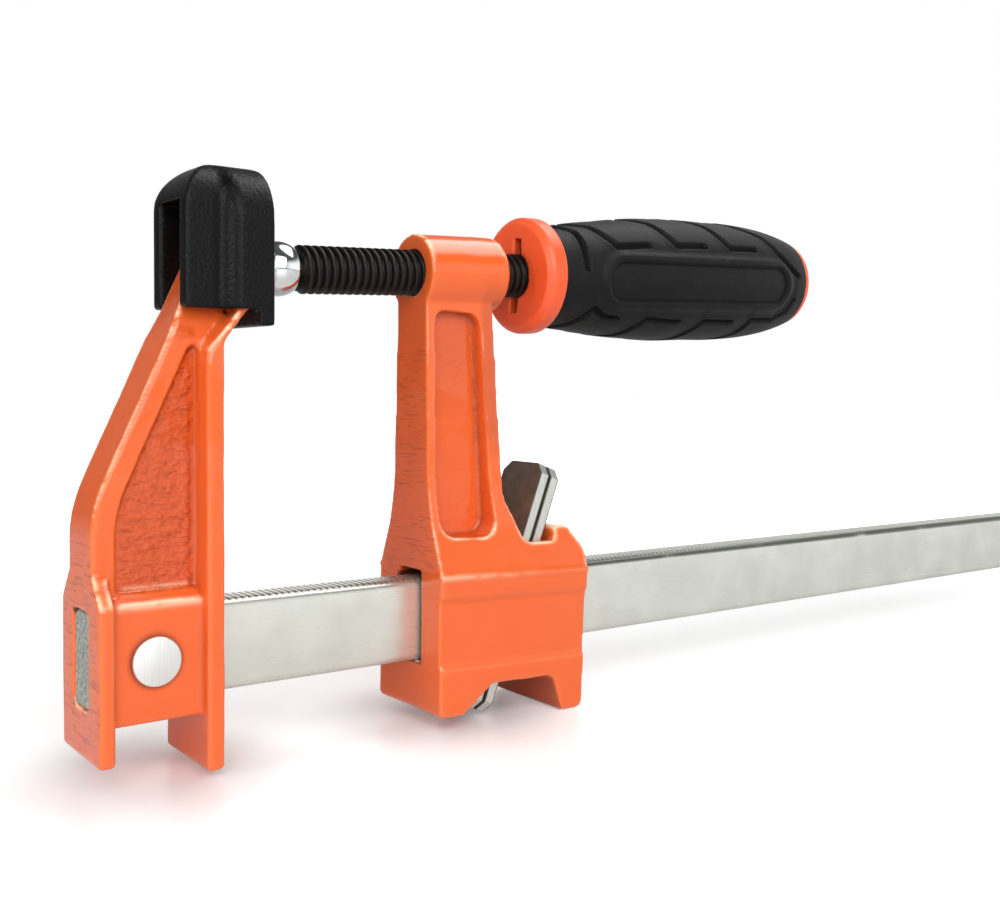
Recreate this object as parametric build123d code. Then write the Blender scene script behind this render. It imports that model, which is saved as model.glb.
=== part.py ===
"""Bar clamp with a multiple-plate clutch: every piece at its real size, in millimetres.

The bar runs along +X and +Z is up. The origin is the middle of the sole under the
fixed head's front plate. Side views are drawn in X and Z with the bar's underside at
height 0, and everything is lifted by bar_lift at the end.
"""
import os
from math import asin, cos, degrees, pi, radians, sin, tan

from build123d import *

os.makedirs("parts", exist_ok=True)

# Bar
bar_height = 20.0
bar_thickness = 9.0
bar_edge_radius = 2.0
bar_length = 413.0
bar_recess = 0.4
bar_fit = 0.15
stop_pin_radius = 2.0
stop_pin_length = 16.0
stop_pin_inset = 6.0

# Fixed head
bar_lift = 14.8
plate_thickness = 3.8
plate_half_width = 11.6
fixed_head_length = 26.4
back_leg_thickness = 3.3
back_leg_drop = 10.2
base_half_width = 12.0
panel_half_width = 9.2
floor_under_bar = 3.0
base_top = 21.7
flange_half_width = 7.1
flange_width = 4.6
web_half_width = 5.7
neck_half_width = 5.1
back_bend_height = 40.4
back_slope = 24.6
jog_start = 75.2
jog_forward = 7.6
jog_rise = 8.8
rib_top = 101.4
rivet_radius = 4.0
rivet_head_radius = 5.15
rivet_head_proud = 1.0
rivet_back = 14.0
rivet_height = 9.8

# Jaw plate and its soft cap
jaw_thickness = 4.0
jaw_half_width = 10.4
jaw_top = 110.9
cap_fit = 0.1
cap_bottom = 82.0
cap_lip_drop = 3.4
cap_front_wall = 3.5
cap_side_wall = 1.5
cap_top_wall = 1.7
cap_rear_round = 10.0
cap_slot_top = 104.3
cap_rear_half_width = 9.2
cap_valley_half_width = 8.9
cap_length = 18.65
cap_flare_end = 11.0
cap_flare_steps = 3
cap_valley_at = 7.7

# Sliding head, drawn with its bar slot level and its front face at 0
opening_now = 52.9
cock_angle = 2.0
slide_length = 45.2
slide_half_width = 13.85
panel_recess = 0.7
panel_low = 0.4
panel_high = 16.2
ridge_top = 21.5
front_leg_drop = 12.3
leg_thickness = 7.3
notch_height = 5.4
slide_slot_play = 0.4
slide_slot_lift = 0.1
box_shoulder_half_width = 9.5
box_shoulder_height = 33.0
arm_low_half_width = 7.7
arm_low_height = 42.0
arm_top_half_width = 6.2
arm_top_depth = 15.8
arm_heel_depth = 21.2
arm_heel_height = 39.5
arm_pocket_half_width = 3.2
arm_pocket_low = 30.2
arm_pocket_high = 84.5
arm_front_rib = 2.8
arm_rear_rib = 4.0
lip_step_back = 3.5
lip_step_up = 5.3
lip_height = 28.5
hook_top = 32.3
hook_thickness = 9.2
boss_radius = 9.3
boss_front = -8.0
boss_rear = 20.5
boss_bevel = 1.4

# Clutch plates
plate_count = 2
clutch_thickness = 2.7
clutch_gap = 0.75
clutch_half_width = 8.0
clutch_lean = 18.3
clutch_above = 56.4
clutch_below = 7.7
clutch_corner = 2.6
clutch_release = 10.0
clutch_seat_gap = 0.12
clutch_side_play = 0.3
clutch_rear_gap = 1.024
clutch_stop_angle = 0.5
window_play = 0.15

# Clutch spring
spring_radius = 2.15
spring_wire = 0.7
spring_turns = 4
spring_wire_sides = 6
spring_end_gap = 0.1
spring_height = 27.3
spring_pocket_depth = 3.5
spring_pocket_play = 0.5

# Screw, in its own frame: along the axis from the height of the front face
screw_height = 93.6
screw_rise = 4.4
screw_radius = 5.5
screw_pitch = 2.0
screw_fit = 0.05
screw_nose = -34.35
screw_nose_bevel = 1.2
screw_in_handle = 34.0
wing_height = 18.5
wing_width = 2.6
wing_length = 3.8
wing_fit = 0.2
wing_start_gap = 2.4

# Swivel and ball end
swivel_face = -43.8
swivel_disc_radius = 6.6
swivel_disc_thickness = 1.8
ball_centre = -38.6
ball_radius = 3.6
ball_flat_angle = 160.0
ball_steps = 4
dome_radius = 6.1
dome_centre = -38.9
dome_end_radius = 5.0
dome_steps = 2
socket_steps = 2
neck_radius = 2.3
lip_radius = 3.5
lip_thickness = 0.25
lip_closing_angle = 54.0
drill_half_angle = 60.0
spigot_radius = 1.8
spigot_length = 5.0
running_fit = 0.06

# Handle
handle_front = 28.0
handle_flange_radius = 14.8
handle_flange_thickness = 6.0
handle_flange_bevel = 1.4
handle_turn = 8.5
handle_core_radius = 9.5
handle_end = 129.0
handle_end_rim = 1.2
handle_dome = 4.7
handle_dome_steps = 2
handle_end_radius = 12.7
grip_fit = 0.05
grip_radius = 17.0
grip_front_radius = 12.7
grip_front_power = 1.5
grip_end_radius = 13.0
grip_end_power = 3.2
grip_straight = 10.0
grip_steps = 7
label_length = 63.2
label_height = 10.6
label_depth = 0.8
label_middle = 82.3

# Places that follow from the sizes above
plate_front = plate_thickness / 2
plate_back = -plate_thickness / 2
head_back = plate_front - fixed_head_length
bar_start = head_back + bar_recess
bar_end = bar_start + bar_length
jaw_front = plate_front + jog_forward
jaw_back = jaw_front - jaw_thickness
jaw_round_centre = jaw_top - jaw_half_width
slide_at = plate_front + opening_now
rear_leg_drop = bar_lift
slot_top = bar_height + slide_length * tan(radians(cock_angle)) + slide_slot_lift + 0.2
plate_pitch = clutch_thickness + clutch_gap


def outline(*corners):
    """A closed face through corners given as (across, up, corner radius)."""
    points = [(across, up) for across, up, _ in corners]
    radii = [radius for _, _, radius in corners]
    return make_face(FilletPolyline(*points, radius=radii, close=True))


def side_view(face, half_width):
    """Extrude a face drawn in X and Z by the same amount to both sides."""
    return extrude(Plane.XZ * face, half_width, both=True)


def end_view(half_outline, start, end):
    """A solid along X from its right half, given bottom to top as (half width, height, radius)."""
    mirrored = [(-wide, up, radius) for wide, up, radius in reversed(half_outline)]
    face = outline(*half_outline, *mirrored)
    return Pos(start, 0, 0) * extrude(Plane.YZ * face, end - start)


def block(x_low, x_high, half_width, z_low, z_high):
    """A plain cutting block."""
    corners = [(x_low, z_low, 0), (x_high, z_low, 0), (x_high, z_high, 0), (x_low, z_high, 0)]
    return side_view(outline(*corners), half_width)


def arch(half_width, low, top, start, end):
    """A round-topped slab along X."""
    centre = top - half_width
    base = Pos((start + end) / 2, 0, 0) * block(
        -(end - start) / 2, (end - start) / 2, half_width, low, centre
    )
    crown = Pos(start, 0, centre) * extrude(Plane.YZ * Circle(half_width), end - start)
    return base + crown


def turned(*profile):
    """Revolve a profile of (along, radius, corner radius) round the screw's axis."""
    return revolve(Plane.XZ * outline(*profile), Axis.X)


def round_profile(centre, radius, start, stop, steps):
    """Points on an arc for turned(), from one angle to another, in degrees from +X."""
    angles = [radians(start + (stop - start) * step / steps) for step in range(steps + 1)]
    return [(centre + radius * cos(angle), radius * sin(angle), 0) for angle in angles]


def along_x(radius, start, end):
    """A round bar on the screw's axis."""
    return Pos(start, 0, 0) * extrude(Plane.YZ * Circle(radius), end - start)


def across(radius, half_length, x, z):
    """A round bar across the clamp."""
    return extrude(Plane.XZ * Pos(x, z) * Circle(radius), half_length, both=True)


def bar_section(play):
    """The bar's section with its rounded edges, grown by the play."""
    width = bar_thickness + 2 * play
    height = bar_height + 2 * play
    return Plane.YZ * Pos(0, bar_height / 2) * RectangleRounded(width, height, bar_edge_radius)


def back_edge(height):
    """Where the fixed head's slanted back edge lies at a height."""
    return head_back + (height - back_bend_height) * tan(radians(back_slope))


def make_bar():
    bar = Pos(bar_start, 0, 0) * extrude(bar_section(0), bar_length)
    bar -= across(rivet_radius + running_fit, bar_thickness, rivet_x, rivet_height)
    bar -= across(stop_pin_radius, bar_thickness, stop_pin_x, bar_height / 2)
    return bar


def make_stop_pin():
    return across(stop_pin_radius, stop_pin_length / 2, stop_pin_x, bar_height / 2)


def make_fixed_head():
    flange_inside = flange_width / cos(radians(back_slope))
    pocket_left = head_back + flange_inside
    pocket_apex = back_bend_height + (plate_back - pocket_left) / tan(radians(back_slope))
    arm = side_view(
        outline(
            (head_back, -floor_under_bar, 0),
            (plate_front, -floor_under_bar, 0),
            (plate_front, jog_start, 4),
            (jaw_back, jog_start + jog_rise, 0),
            (jaw_back, rib_top, 0),
            (back_edge(rib_top), rib_top, 0),
            (head_back, back_bend_height, 30),
        ),
        base_half_width,
    )
    arm &= end_view(
        [
            (flange_half_width, -floor_under_bar, 0),
            (flange_half_width, jog_start, 2),
            (neck_half_width, cap_bottom - cap_fit, 0),
            (neck_half_width, rib_top, 1),
        ],
        head_back,
        jaw_front,
    )
    pocket = outline(
        (pocket_left, base_top, 0),
        (plate_back, base_top, 0),
        (plate_back, pocket_apex, 1.25),
        (pocket_left, back_bend_height, 25),
    )
    arm -= side_view(pocket, base_half_width) - side_view(pocket, web_half_width)

    plate = side_view(
        outline(
            (plate_back, -bar_lift, 1),
            (plate_front, -bar_lift, 1),
            (plate_front, jog_start, 4),
            (jaw_front, jog_start + jog_rise, 3),
            (jaw_front, jaw_top, 1),
            (jaw_back, jaw_top, 1),
            (jaw_back, cap_bottom - 5 * cap_fit, 1),
            (plate_back, jog_start - jog_rise / 4, 5),
        ),
        base_half_width,
    )
    shoulder = end_view(
        [
            (plate_half_width, -bar_lift, 1),
            (plate_half_width, jog_start + 1, 3),
            (jaw_half_width, cap_bottom - cap_fit, 3),
            (jaw_half_width, jaw_round_centre, 0),
        ],
        plate_back,
        jaw_front,
    )
    plate &= shoulder + arch(jaw_half_width, cap_bottom, jaw_top, jaw_back, jaw_front)

    panel = end_view(
        [
            (panel_half_width, -floor_under_bar, 1),
            (panel_half_width, base_top, 1),
            (web_half_width - 0.2, base_top + 2.6, 0),
        ],
        head_back + 1,
        plate_front - 1,
    )
    back_leg = end_view(
        [
            (base_half_width, -back_leg_drop, 1),
            (base_half_width, base_top, 3),
            (flange_half_width - 0.2, base_top + 6.5, 0),
        ],
        head_back,
        head_back + back_leg_thickness,
    )
    head = arm + plate + panel + back_leg

    head -= Pos(head_back - 1, 0, 0) * extrude(bar_section(bar_fit), fixed_head_length + 2)
    head -= across(rivet_radius + running_fit, base_half_width, rivet_x, rivet_height)
    return head


def make_rivet():
    rivet = across(rivet_radius, panel_half_width, rivet_x, rivet_height)
    head_end = panel_half_width + rivet_head_proud
    disc = across(rivet_head_radius, head_end, rivet_x, rivet_height)
    disc -= across(rivet_head_radius + 1, panel_half_width + running_fit, rivet_x, rivet_height)
    return rivet + disc + across(rivet_radius, head_end, rivet_x, rivet_height)


def make_jaw_cap():
    front = jaw_front + cap_fit + cap_front_wall
    rear = front - cap_length
    half_width = jaw_half_width + cap_fit + cap_side_wall
    top = jaw_top + cap_top_wall + cap_fit
    flare = [rear, rear + cap_valley_at - 1.6, rear + cap_valley_at]
    widths = [cap_rear_half_width, cap_rear_half_width, cap_valley_half_width]
    for step in range(1, cap_flare_steps + 1):
        share = step / cap_flare_steps
        flare.append(rear + cap_valley_at + share * (cap_flare_end - cap_valley_at))
        rise = (1 - cos(pi * share)) / 2
        widths.append(cap_valley_half_width + rise * (half_width - cap_valley_half_width))
    flare.append(front)
    widths.append(half_width)
    sections = [cap_section(wide, top, x) for x, wide in zip(flare, widths)]
    shell = loft(sections, ruled=True)
    shell &= side_view(
        outline(
            (rear, cap_bottom, 0.6),
            (jaw_front, cap_bottom, 0),
            (jaw_front, cap_bottom - cap_lip_drop, 0),
            (front, cap_bottom - cap_lip_drop, 0.8),
            (front, top, 1.8),
            (rear, top, cap_rear_round),
        ),
        half_width + 1,
    )
    shell -= arch(jaw_half_width + cap_fit, 0, jaw_top + cap_fit, jaw_back - cap_fit, jaw_front + cap_fit)
    shell -= block(rear - 1, jaw_back, neck_half_width + 2 * cap_fit, 0, cap_slot_top)
    return shell


def cap_section(half_width, top, x):
    """One round-topped slice across the cap."""
    low = cap_bottom - cap_lip_drop - 1
    centre = top - half_width
    walls = Polyline((-half_width, centre), (-half_width, low), (half_width, low), (half_width, centre))
    crown = ThreePointArc((half_width, centre), (0, top), (-half_width, centre))
    return Plane.YZ.offset(x) * make_face(walls + crown)


def arm_back(height):
    """Where the sliding head's arm ends behind at a height."""
    share = (height - arm_heel_height) / (screw_height - arm_heel_height)
    return arm_heel_depth + share * (arm_top_depth - arm_heel_depth)


def clutch_frame(index):
    """Where one clutch plate bears on the head, with its own Z along the plate."""
    bearing = Pos(seat_x, 0, -notch_height) * Rot(0, clutch_lean, 0)
    return bearing * Pos(index * plate_pitch, 0, 0)


def make_sliding_head():
    lean = tan(radians(cock_angle))
    foot = rear_leg_drop
    lip_start = slide_length / 2 + lip_step_back
    profile = side_view(
        outline(
            (front_leg_drop * lean, -front_leg_drop, 1.5),
            (leg_thickness, -front_leg_drop, 1.5),
            (seat_x - clutch_seat_gap, -notch_height, 0.5),
            (slide_length - hook_thickness - 1.5, -notch_height, 2.5),
            (slide_length - leg_thickness, -foot, 1.5),
            (slide_length - 0.4, -foot, 2),
            (slide_length, hook_top - 6, 5),
            (slide_length - hook_thickness / 2, hook_top, 2.5),
            (slide_length - hook_thickness, hook_top, 1.2),
            (slide_length - hook_thickness, lip_height, 1.5),
            (lip_start, lip_height, 3),
            (lip_start - lip_step_up * tan(radians(clutch_lean + cock_angle)), lip_height + lip_step_up, 3),
            (arm_heel_depth, arm_heel_height, 9),
            (arm_top_depth, screw_height, 0),
            (-screw_height * lean, screw_height, 0),
        ),
        slide_half_width + 1,
    )
    widths = end_view(
        [
            (slide_half_width, -foot, 1.2),
            (slide_half_width, panel_low - 1.5, 0.5),
            (slide_half_width - panel_recess, panel_low, 0.5),
            (slide_half_width - panel_recess, panel_high - 0.6, 0.5),
            (slide_half_width, panel_high, 0.5),
            (slide_half_width, ridge_top, 3),
            (box_shoulder_half_width, box_shoulder_height, 14),
            (arm_low_half_width, arm_low_height, 30),
            (arm_top_half_width, screw_height, 0),
        ],
        -2 * screw_height * lean,
        slide_length + 1,
    )
    head = profile & widths
    pocket = outline(
        (-arm_pocket_low * lean + arm_front_rib, arm_pocket_low, 4),
        (arm_back(arm_pocket_low) - arm_rear_rib, arm_pocket_low, 4),
        (arm_back(arm_pocket_high) - arm_rear_rib, arm_pocket_high, 3.5),
        (-arm_pocket_high * lean + arm_front_rib, arm_pocket_high, 2.5),
    )
    head -= side_view(pocket, slide_half_width) - side_view(pocket, arm_pocket_half_width)
    boss = turned(
        (boss_front, 0, 0),
        (boss_front, boss_radius, 0),
        (boss_rear - boss_bevel, boss_radius, 0),
        (boss_rear, boss_radius - boss_bevel, 0),
        (boss_rear, 0, 0),
    )
    ahead = block(2 * boss_front, 0, 2 * boss_radius, 0, screw_height + 2 * boss_radius)
    head += screw_place * boss - Rot(0, -cock_angle, 0) * ahead
    head -= screw_place * along_x(screw_radius + screw_fit, -20, boss_rear + 5)

    slot_half = bar_thickness / 2 + slide_slot_play
    head -= block(-5, slide_length + 5, slot_half, -slide_slot_lift, slot_top)
    rear_wall = slide_length - hook_thickness
    reach = arm_heel_height + boss_radius
    front_lean = tan(radians(front_wall_lean))
    cavity = outline(
        (seat_x - clutch_seat_gap, -notch_height - 1, 0),
        (rear_wall, -notch_height - 1, 0),
        (rear_wall, reach, 0),
        (seat_x - clutch_seat_gap + (reach + notch_height) * front_lean, reach, 0),
        (seat_x - clutch_seat_gap, -notch_height, 0),
    )
    head -= side_view(cavity, clutch_half_width + clutch_side_play)
    head -= Pos(spring_start, 0, spring_height) * extrude(
        Plane.YZ * Circle(spring_radius + spring_wire / 2 + spring_pocket_play), 12
    )
    return head


def make_clutch_plate(index):
    """A hardened plate with a window that bites the bar while it leans."""
    corner = clutch_corner
    wide = clutch_half_width
    face = Polyline(
        (-wide + corner, -clutch_below),
        (wide - corner, -clutch_below),
        (wide, -clutch_below + corner),
        (wide, clutch_above - corner),
        (wide - corner, clutch_above),
        (-wide + corner, clutch_above),
        (-wide, clutch_above - corner),
        (-wide, -clutch_below + corner),
        close=True,
    )
    plate = extrude(Plane.YZ * make_face(face), clutch_thickness)
    low, high = window_ends(index)
    window = Plane.YZ * Pos(0, (low + high) / 2) * RectangleRounded(
        bar_thickness + 2 * slide_slot_play, high - low, bar_edge_radius
    )
    plate -= Pos(-1, 0, 0) * extrude(window, clutch_thickness + 2)
    return clutch_frame(index) * plate


def window_ends(index):
    """A plate's window along its length: it clears the bar leaning and released."""
    leaning = radians(clutch_lean + cock_angle)
    released = radians(clutch_lean + cock_angle - clutch_release)
    bar_bottom = -(cocked * clutch_frame(index)).position.Z
    bar_top = bar_bottom + bar_height + clutch_thickness * sin(leaning)
    low = bar_bottom / cos(released) - window_play
    high = bar_top / cos(leaning) + window_play
    return low, high


def make_clutch_spring():
    """A coil from the bottom of its pocket to the first plate, swept over quarter turns."""
    start = spring_start + spring_wire / 2 + running_fit
    rise = (spring_free_end - start) / spring_turns
    gap = rise - spring_wire
    print("least gap between the spring's turns", round(gap, 2))
    quarters = []
    for quarter in range(4 * spring_turns):
        spots = []
        for eighth in (2 * quarter, 2 * quarter + 1, 2 * quarter + 2):
            angle = eighth * pi / 4
            across_y = spring_radius * cos(angle)
            up = spring_height + spring_radius * sin(angle)
            spots.append((start + rise * eighth / 8, across_y, up))
        quarters.append(ThreePointArc(*spots))
    path = Wire(quarters)
    wire = RegularPolygon(spring_wire / 2, spring_wire_sides)
    return sweep(Plane(path @ 0, z_dir=path % 0) * wire, path)


def make_screw():
    screw = turned(
        (screw_nose, 0, 0),
        (screw_nose, screw_radius - screw_nose_bevel, 0),
        (screw_nose + screw_nose_bevel, screw_radius, 0),
        (handle_front + screw_in_handle, screw_radius, 0),
        (handle_front + screw_in_handle, 0, 0),
    )
    wing_start = handle_front + wing_start_gap
    wings = Pos(wing_start + wing_length / 2, 0, 0) * Box(wing_length, wing_width, wing_height)
    screw += wings
    screw -= along_x(spigot_radius + running_fit, screw_nose - 1, screw_nose + spigot_length + 0.3)
    return screw


def make_ball_end():
    """The ball on its neck, with a spigot that turns in the screw's nose."""
    neck_angle = degrees(asin(neck_radius / ball_radius))
    ball = round_profile(ball_centre, ball_radius, ball_flat_angle, neck_angle, ball_steps)
    neck = [(screw_nose - running_fit, neck_radius, 0)]
    spigot = [
        (screw_nose - running_fit, spigot_radius, 0),
        (screw_nose + spigot_length, spigot_radius, 0),
        (screw_nose + spigot_length, 0, 0),
    ]
    flat = [(ball[0][0], 0, 0)]
    return turned(*flat, *ball, *neck, *spigot)


def make_swivel():
    """A pad with a drilled socket whose domed rim is closed over the ball."""
    back = swivel_face + swivel_disc_thickness
    dome = round_profile(dome_centre, dome_radius, 90, degrees(asin(dome_end_radius / dome_radius)), dome_steps)
    mouth = dome[-1][0]
    socket = ball_radius + running_fit
    rim = round_profile(ball_centre, socket, lip_closing_angle, 90, socket_steps)
    drill_point = ball_centre - socket / sin(radians(drill_half_angle))
    drill_shoulder = drill_point + socket / tan(radians(drill_half_angle))
    return turned(
        (swivel_face, 0, 0),
        (swivel_face, swivel_disc_radius, 0),
        (back, swivel_disc_radius, 0),
        *dome,
        (mouth, lip_radius - lip_thickness, 0),
        *rim,
        (drill_shoulder, socket, 0),
        (drill_point, 0, 0),
    )


def make_handle_core():
    """The hard core: a slotted flange, a sleeve under the grip and a domed end."""
    bevel = handle_flange_bevel
    dome_radius_here = (handle_end_radius**2 + handle_dome**2) / (2 * handle_dome)
    dome_middle = handle_end + handle_end_rim + handle_dome - dome_radius_here
    dome_start = degrees(asin(handle_end_radius / dome_radius_here))
    core = turned(
        (handle_front, 0, 0),
        (handle_front, handle_flange_radius - bevel, 0),
        (handle_front + bevel, handle_flange_radius, 0),
        (handle_front + handle_flange_thickness - bevel / 2, handle_flange_radius, 0),
        (handle_front + handle_flange_thickness, handle_flange_radius - bevel / 2, 0),
        (handle_front + handle_flange_thickness, handle_core_radius, 0),
        (handle_end, handle_core_radius, 0),
        (handle_end, handle_end_radius, 0),
        *round_profile(dome_middle, dome_radius_here, dome_start, 0, handle_dome_steps),
    )
    depth = handle_front + screw_in_handle + 0.5
    core -= along_x(screw_radius + screw_fit, handle_front - 1, depth)
    slot_depth = wing_start_gap + wing_length + wing_fit
    slot = Box(slot_depth + 1, wing_width + 2 * wing_fit, wing_height + 2 * wing_fit)
    core -= Pos(handle_front + (slot_depth - 1) / 2, 0, 0) * slot
    return core


def grip_body(inset):
    """The grip's turned outside, straight round its belly, taken in by the inset."""
    front = handle_front + handle_flange_thickness + grip_fit
    back = handle_end - grip_fit
    belly = (front + back) / 2
    profile = [(front, 0, 0)]
    straight = grip_straight / (back - front)
    for step in range(grip_steps + 1):
        along = belly - (belly - front) * cos(pi * step / grip_steps)
        from_belly = abs(along - belly) / (belly - front)
        share = max(0, (from_belly - straight) / (1 - straight))
        if along < belly:
            radius = grip_radius - (grip_radius - grip_front_radius) * share**grip_front_power
        else:
            radius = grip_radius - (grip_radius - grip_end_radius) * share**grip_end_power
        profile.append((along, radius - inset, 0))
    profile.append((back, 0, 0))
    return turned(*profile)


def make_grip():
    grip = grip_body(0)
    label = SlotOverall(label_length, label_height)
    label_cut = extrude(Plane.XZ * Pos(label_middle, 0) * label, grip_radius + 5, both=True)
    grip -= label_cut - grip_body(label_depth)
    grip -= along_x(handle_core_radius + grip_fit, handle_front, handle_end + 1)
    return grip


rivet_x = plate_front - rivet_back
stop_pin_x = bar_end - stop_pin_inset
pack_thickness = (plate_count - 1) * plate_pitch + clutch_thickness
seat_x = (
    slide_length
    - hook_thickness
    - clutch_rear_gap
    - (hook_top + notch_height) * tan(radians(clutch_lean))
    - pack_thickness / cos(radians(clutch_lean))
)
cocked = Rot(0, cock_angle, 0)
screw_place = Pos(0, 0, screw_height) * Rot(0, -screw_rise, 0)
front_wall_lean = clutch_lean - clutch_release - clutch_stop_angle
spring_start = (
    seat_x
    + (spring_height + notch_height) * tan(radians(front_wall_lean))
    - spring_pocket_depth
)
spring_free_end = (
    seat_x
    + (spring_height + notch_height - spring_radius - spring_wire / 2) * tan(radians(clutch_lean))
    - spring_wire / 2
    - spring_end_gap
)

stand = Pos(0, 0, bar_lift)
carriage = stand * Pos(slide_at, 0, 0) * cocked
on_screw = carriage * screw_place
screw_turned = on_screw * Rot(handle_turn, 0, 0)

nodes = {
    "bar": stand * make_bar(),
    "bar_stop_pin": stand * make_stop_pin(),
    "fixed_head": stand * make_fixed_head(),
    "bar_rivet": stand * make_rivet(),
    "jaw_cap": stand * make_jaw_cap(),
    "sliding_head": carriage * make_sliding_head(),
    "clutch_spring": carriage * make_clutch_spring(),
    "screw": screw_turned * make_screw(),
    "screw_ball_end": on_screw * make_ball_end(),
    "swivel": on_screw * make_swivel(),
    "handle_core": screw_turned * make_handle_core(),
    "handle_grip": screw_turned * make_grip(),
}
for number in range(plate_count):
    nodes[f"clutch_plate_{number + 1}"] = carriage * make_clutch_plate(number)

for name, solid in nodes.items():
    export_step(solid, f"parts/{name}.step")

seat = (carriage * clutch_frame(0)).position
ball = (on_screw * Pos(ball_centre, 0, 0)).position
tip = (on_screw * Pos(1, 0, 0)).position - on_screw.position
print("clutch seat", seat, "ball", ball, "screw direction", tip, "screw point", on_screw.position)
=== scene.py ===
# %% [markdown]
# # A bar clamp, dressed for its picture
# A bar clamp squeezes work between two jaws that ride on one steel bar. This lesson takes the
# clamp's measured solids as a fixed frame and gives every visible piece its real surface: enamelled
# castings, a plated bar with a toothed edge, a black screw, a chromed swivel and a rubber grip.
# The solids could be drawn again by eye, but a frame that never moves keeps every joint true.

from math import cos, pi, radians, sin

import bmesh
import bpy
import numpy as np
from mathutils import Matrix, Vector, noise


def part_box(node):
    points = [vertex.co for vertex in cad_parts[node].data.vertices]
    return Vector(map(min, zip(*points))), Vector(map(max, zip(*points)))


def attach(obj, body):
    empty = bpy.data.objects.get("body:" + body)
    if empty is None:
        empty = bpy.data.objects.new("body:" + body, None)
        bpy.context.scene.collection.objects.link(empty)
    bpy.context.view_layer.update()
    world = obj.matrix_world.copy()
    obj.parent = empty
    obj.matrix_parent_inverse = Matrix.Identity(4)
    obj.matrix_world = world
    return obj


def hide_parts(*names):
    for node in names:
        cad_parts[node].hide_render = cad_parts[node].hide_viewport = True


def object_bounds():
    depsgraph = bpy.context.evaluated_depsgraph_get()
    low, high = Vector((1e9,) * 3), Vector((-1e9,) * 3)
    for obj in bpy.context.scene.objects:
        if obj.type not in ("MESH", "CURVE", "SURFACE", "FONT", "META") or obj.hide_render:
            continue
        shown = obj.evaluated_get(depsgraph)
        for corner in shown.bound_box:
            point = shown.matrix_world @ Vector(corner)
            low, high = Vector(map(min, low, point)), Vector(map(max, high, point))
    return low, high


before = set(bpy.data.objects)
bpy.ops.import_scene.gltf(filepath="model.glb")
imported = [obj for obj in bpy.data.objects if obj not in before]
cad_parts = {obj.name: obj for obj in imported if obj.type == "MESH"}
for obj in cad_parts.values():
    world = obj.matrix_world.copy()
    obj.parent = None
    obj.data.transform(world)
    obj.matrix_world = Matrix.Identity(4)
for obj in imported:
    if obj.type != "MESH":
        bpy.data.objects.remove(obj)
cad_low, cad_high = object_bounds()
mm = 0.001
print("pieces in the frame:", len(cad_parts))
print("size in mm:", [round(v / mm) for v in cad_high - cad_low])

# %% [markdown]
# ## The camera
# A photograph of a long object from close by shows strong perspective, so the place of the camera
# matters more than its lens. A camera can be aimed by a Track To constraint, which hides its roll.
# Here its three axes are worked out from a heading, a tip downwards and a small roll, because the
# photographer's hand was not quite level.

# %% Camera
heading = radians(37.13)
tip_down = radians(3.18)
roll = radians(0.69)
camera_place = (-0.0982, -0.2380, 0.0815)
ahead = Vector((sin(heading) * cos(tip_down), cos(heading) * cos(tip_down), -sin(tip_down)))
level = Vector((cos(heading), -sin(heading), 0))
upright = level.cross(ahead)
camera_right = cos(roll) * level + sin(roll) * upright
camera_up = cos(roll) * upright - sin(roll) * level
camera_data = bpy.data.cameras.new("camera")
camera_data.lens = 41.96
camera_data.clip_start = 0.01
camera = bpy.data.objects.new("camera", camera_data)
bpy.context.scene.collection.objects.link(camera)
turned_axes = Matrix((camera_right, camera_up, -ahead)).transposed()
camera.matrix_world = Matrix.Translation(camera_place) @ turned_axes.to_4x4()
bpy.context.scene.camera = camera
print("camera looks along", [round(v, 3) for v in ahead])

# %% [markdown]
# ## A short hand for shader maths
# A material is a graph of nodes, and a graph built call by call is hard to read. A wire below is one
# output of a node. Adding or multiplying wires adds the node that does it: a Math node for numbers,
# Vector Math for vectors and Mix for colours, so that a finish reads as a sum. Every other node comes
# from one method that takes the type, the settings, the sockets and the name or number of the output.

# %% Wires
# A Mix node has sockets of the same name for numbers, vectors and colours. These are its colour sockets.
mix_under, mix_over, mix_result = 6, 7, 2


class Wire:
    """One output of a shader node, which takes part in sums."""

    def __init__(self, tree, socket=None):
        self.tree = tree
        self.socket = socket

    def add(self, kind, settings=None, values=None, output=0):
        """Any node: its type, its settings, the values or wires of its sockets, and its output."""
        made = self.tree.nodes.new("ShaderNode" + kind)
        for name, value in (settings or {}).items():
            setattr(made, name, value)
        for name, value in (values or {}).items():
            if isinstance(value, Wire):
                self.tree.links.new(value.socket, made.inputs[name])
            else:
                made.inputs[name].default_value = value
        return Wire(self.tree, made.outputs[output] if made.outputs else None)

    def combine(self, operation, first, second):
        """The node for first (operation) second that suits this wire's kind."""
        if self.socket.type == "RGBA":
            values = {"Factor": 1.0, mix_under: as_colour(first), mix_over: as_colour(second)}
            return self.add("Mix", {"data_type": "RGBA", "blend_type": operation}, values, mix_result)
        if self.socket.type == "VECTOR":
            values = {0: as_vector(first), 1: as_vector(second)}
            return self.add("VectorMath", {"operation": operation}, values)
        return self.add("Math", {"operation": operation}, {0: first, 1: second})

    def __add__(self, other):
        return self.combine("ADD", self, other)

    def __sub__(self, other):
        return self.combine("SUBTRACT", self, other)

    def __rsub__(self, other):
        return self.combine("SUBTRACT", other, self)

    def __mul__(self, other):
        return self.combine("MULTIPLY", self, other)

    __radd__ = __add__
    __rmul__ = __mul__


def as_colour(value):
    """A number becomes a grey, and anything else stays."""
    return (value, value, value, 1.0) if isinstance(value, (int, float)) else value


def as_vector(value):
    """A number becomes three equal parts, and anything else stays."""
    return (value, value, value) if isinstance(value, (int, float)) else value


print("a grey of 0.5 as a colour:", as_colour(0.5), "and as a vector:", as_vector(0.5))

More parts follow.
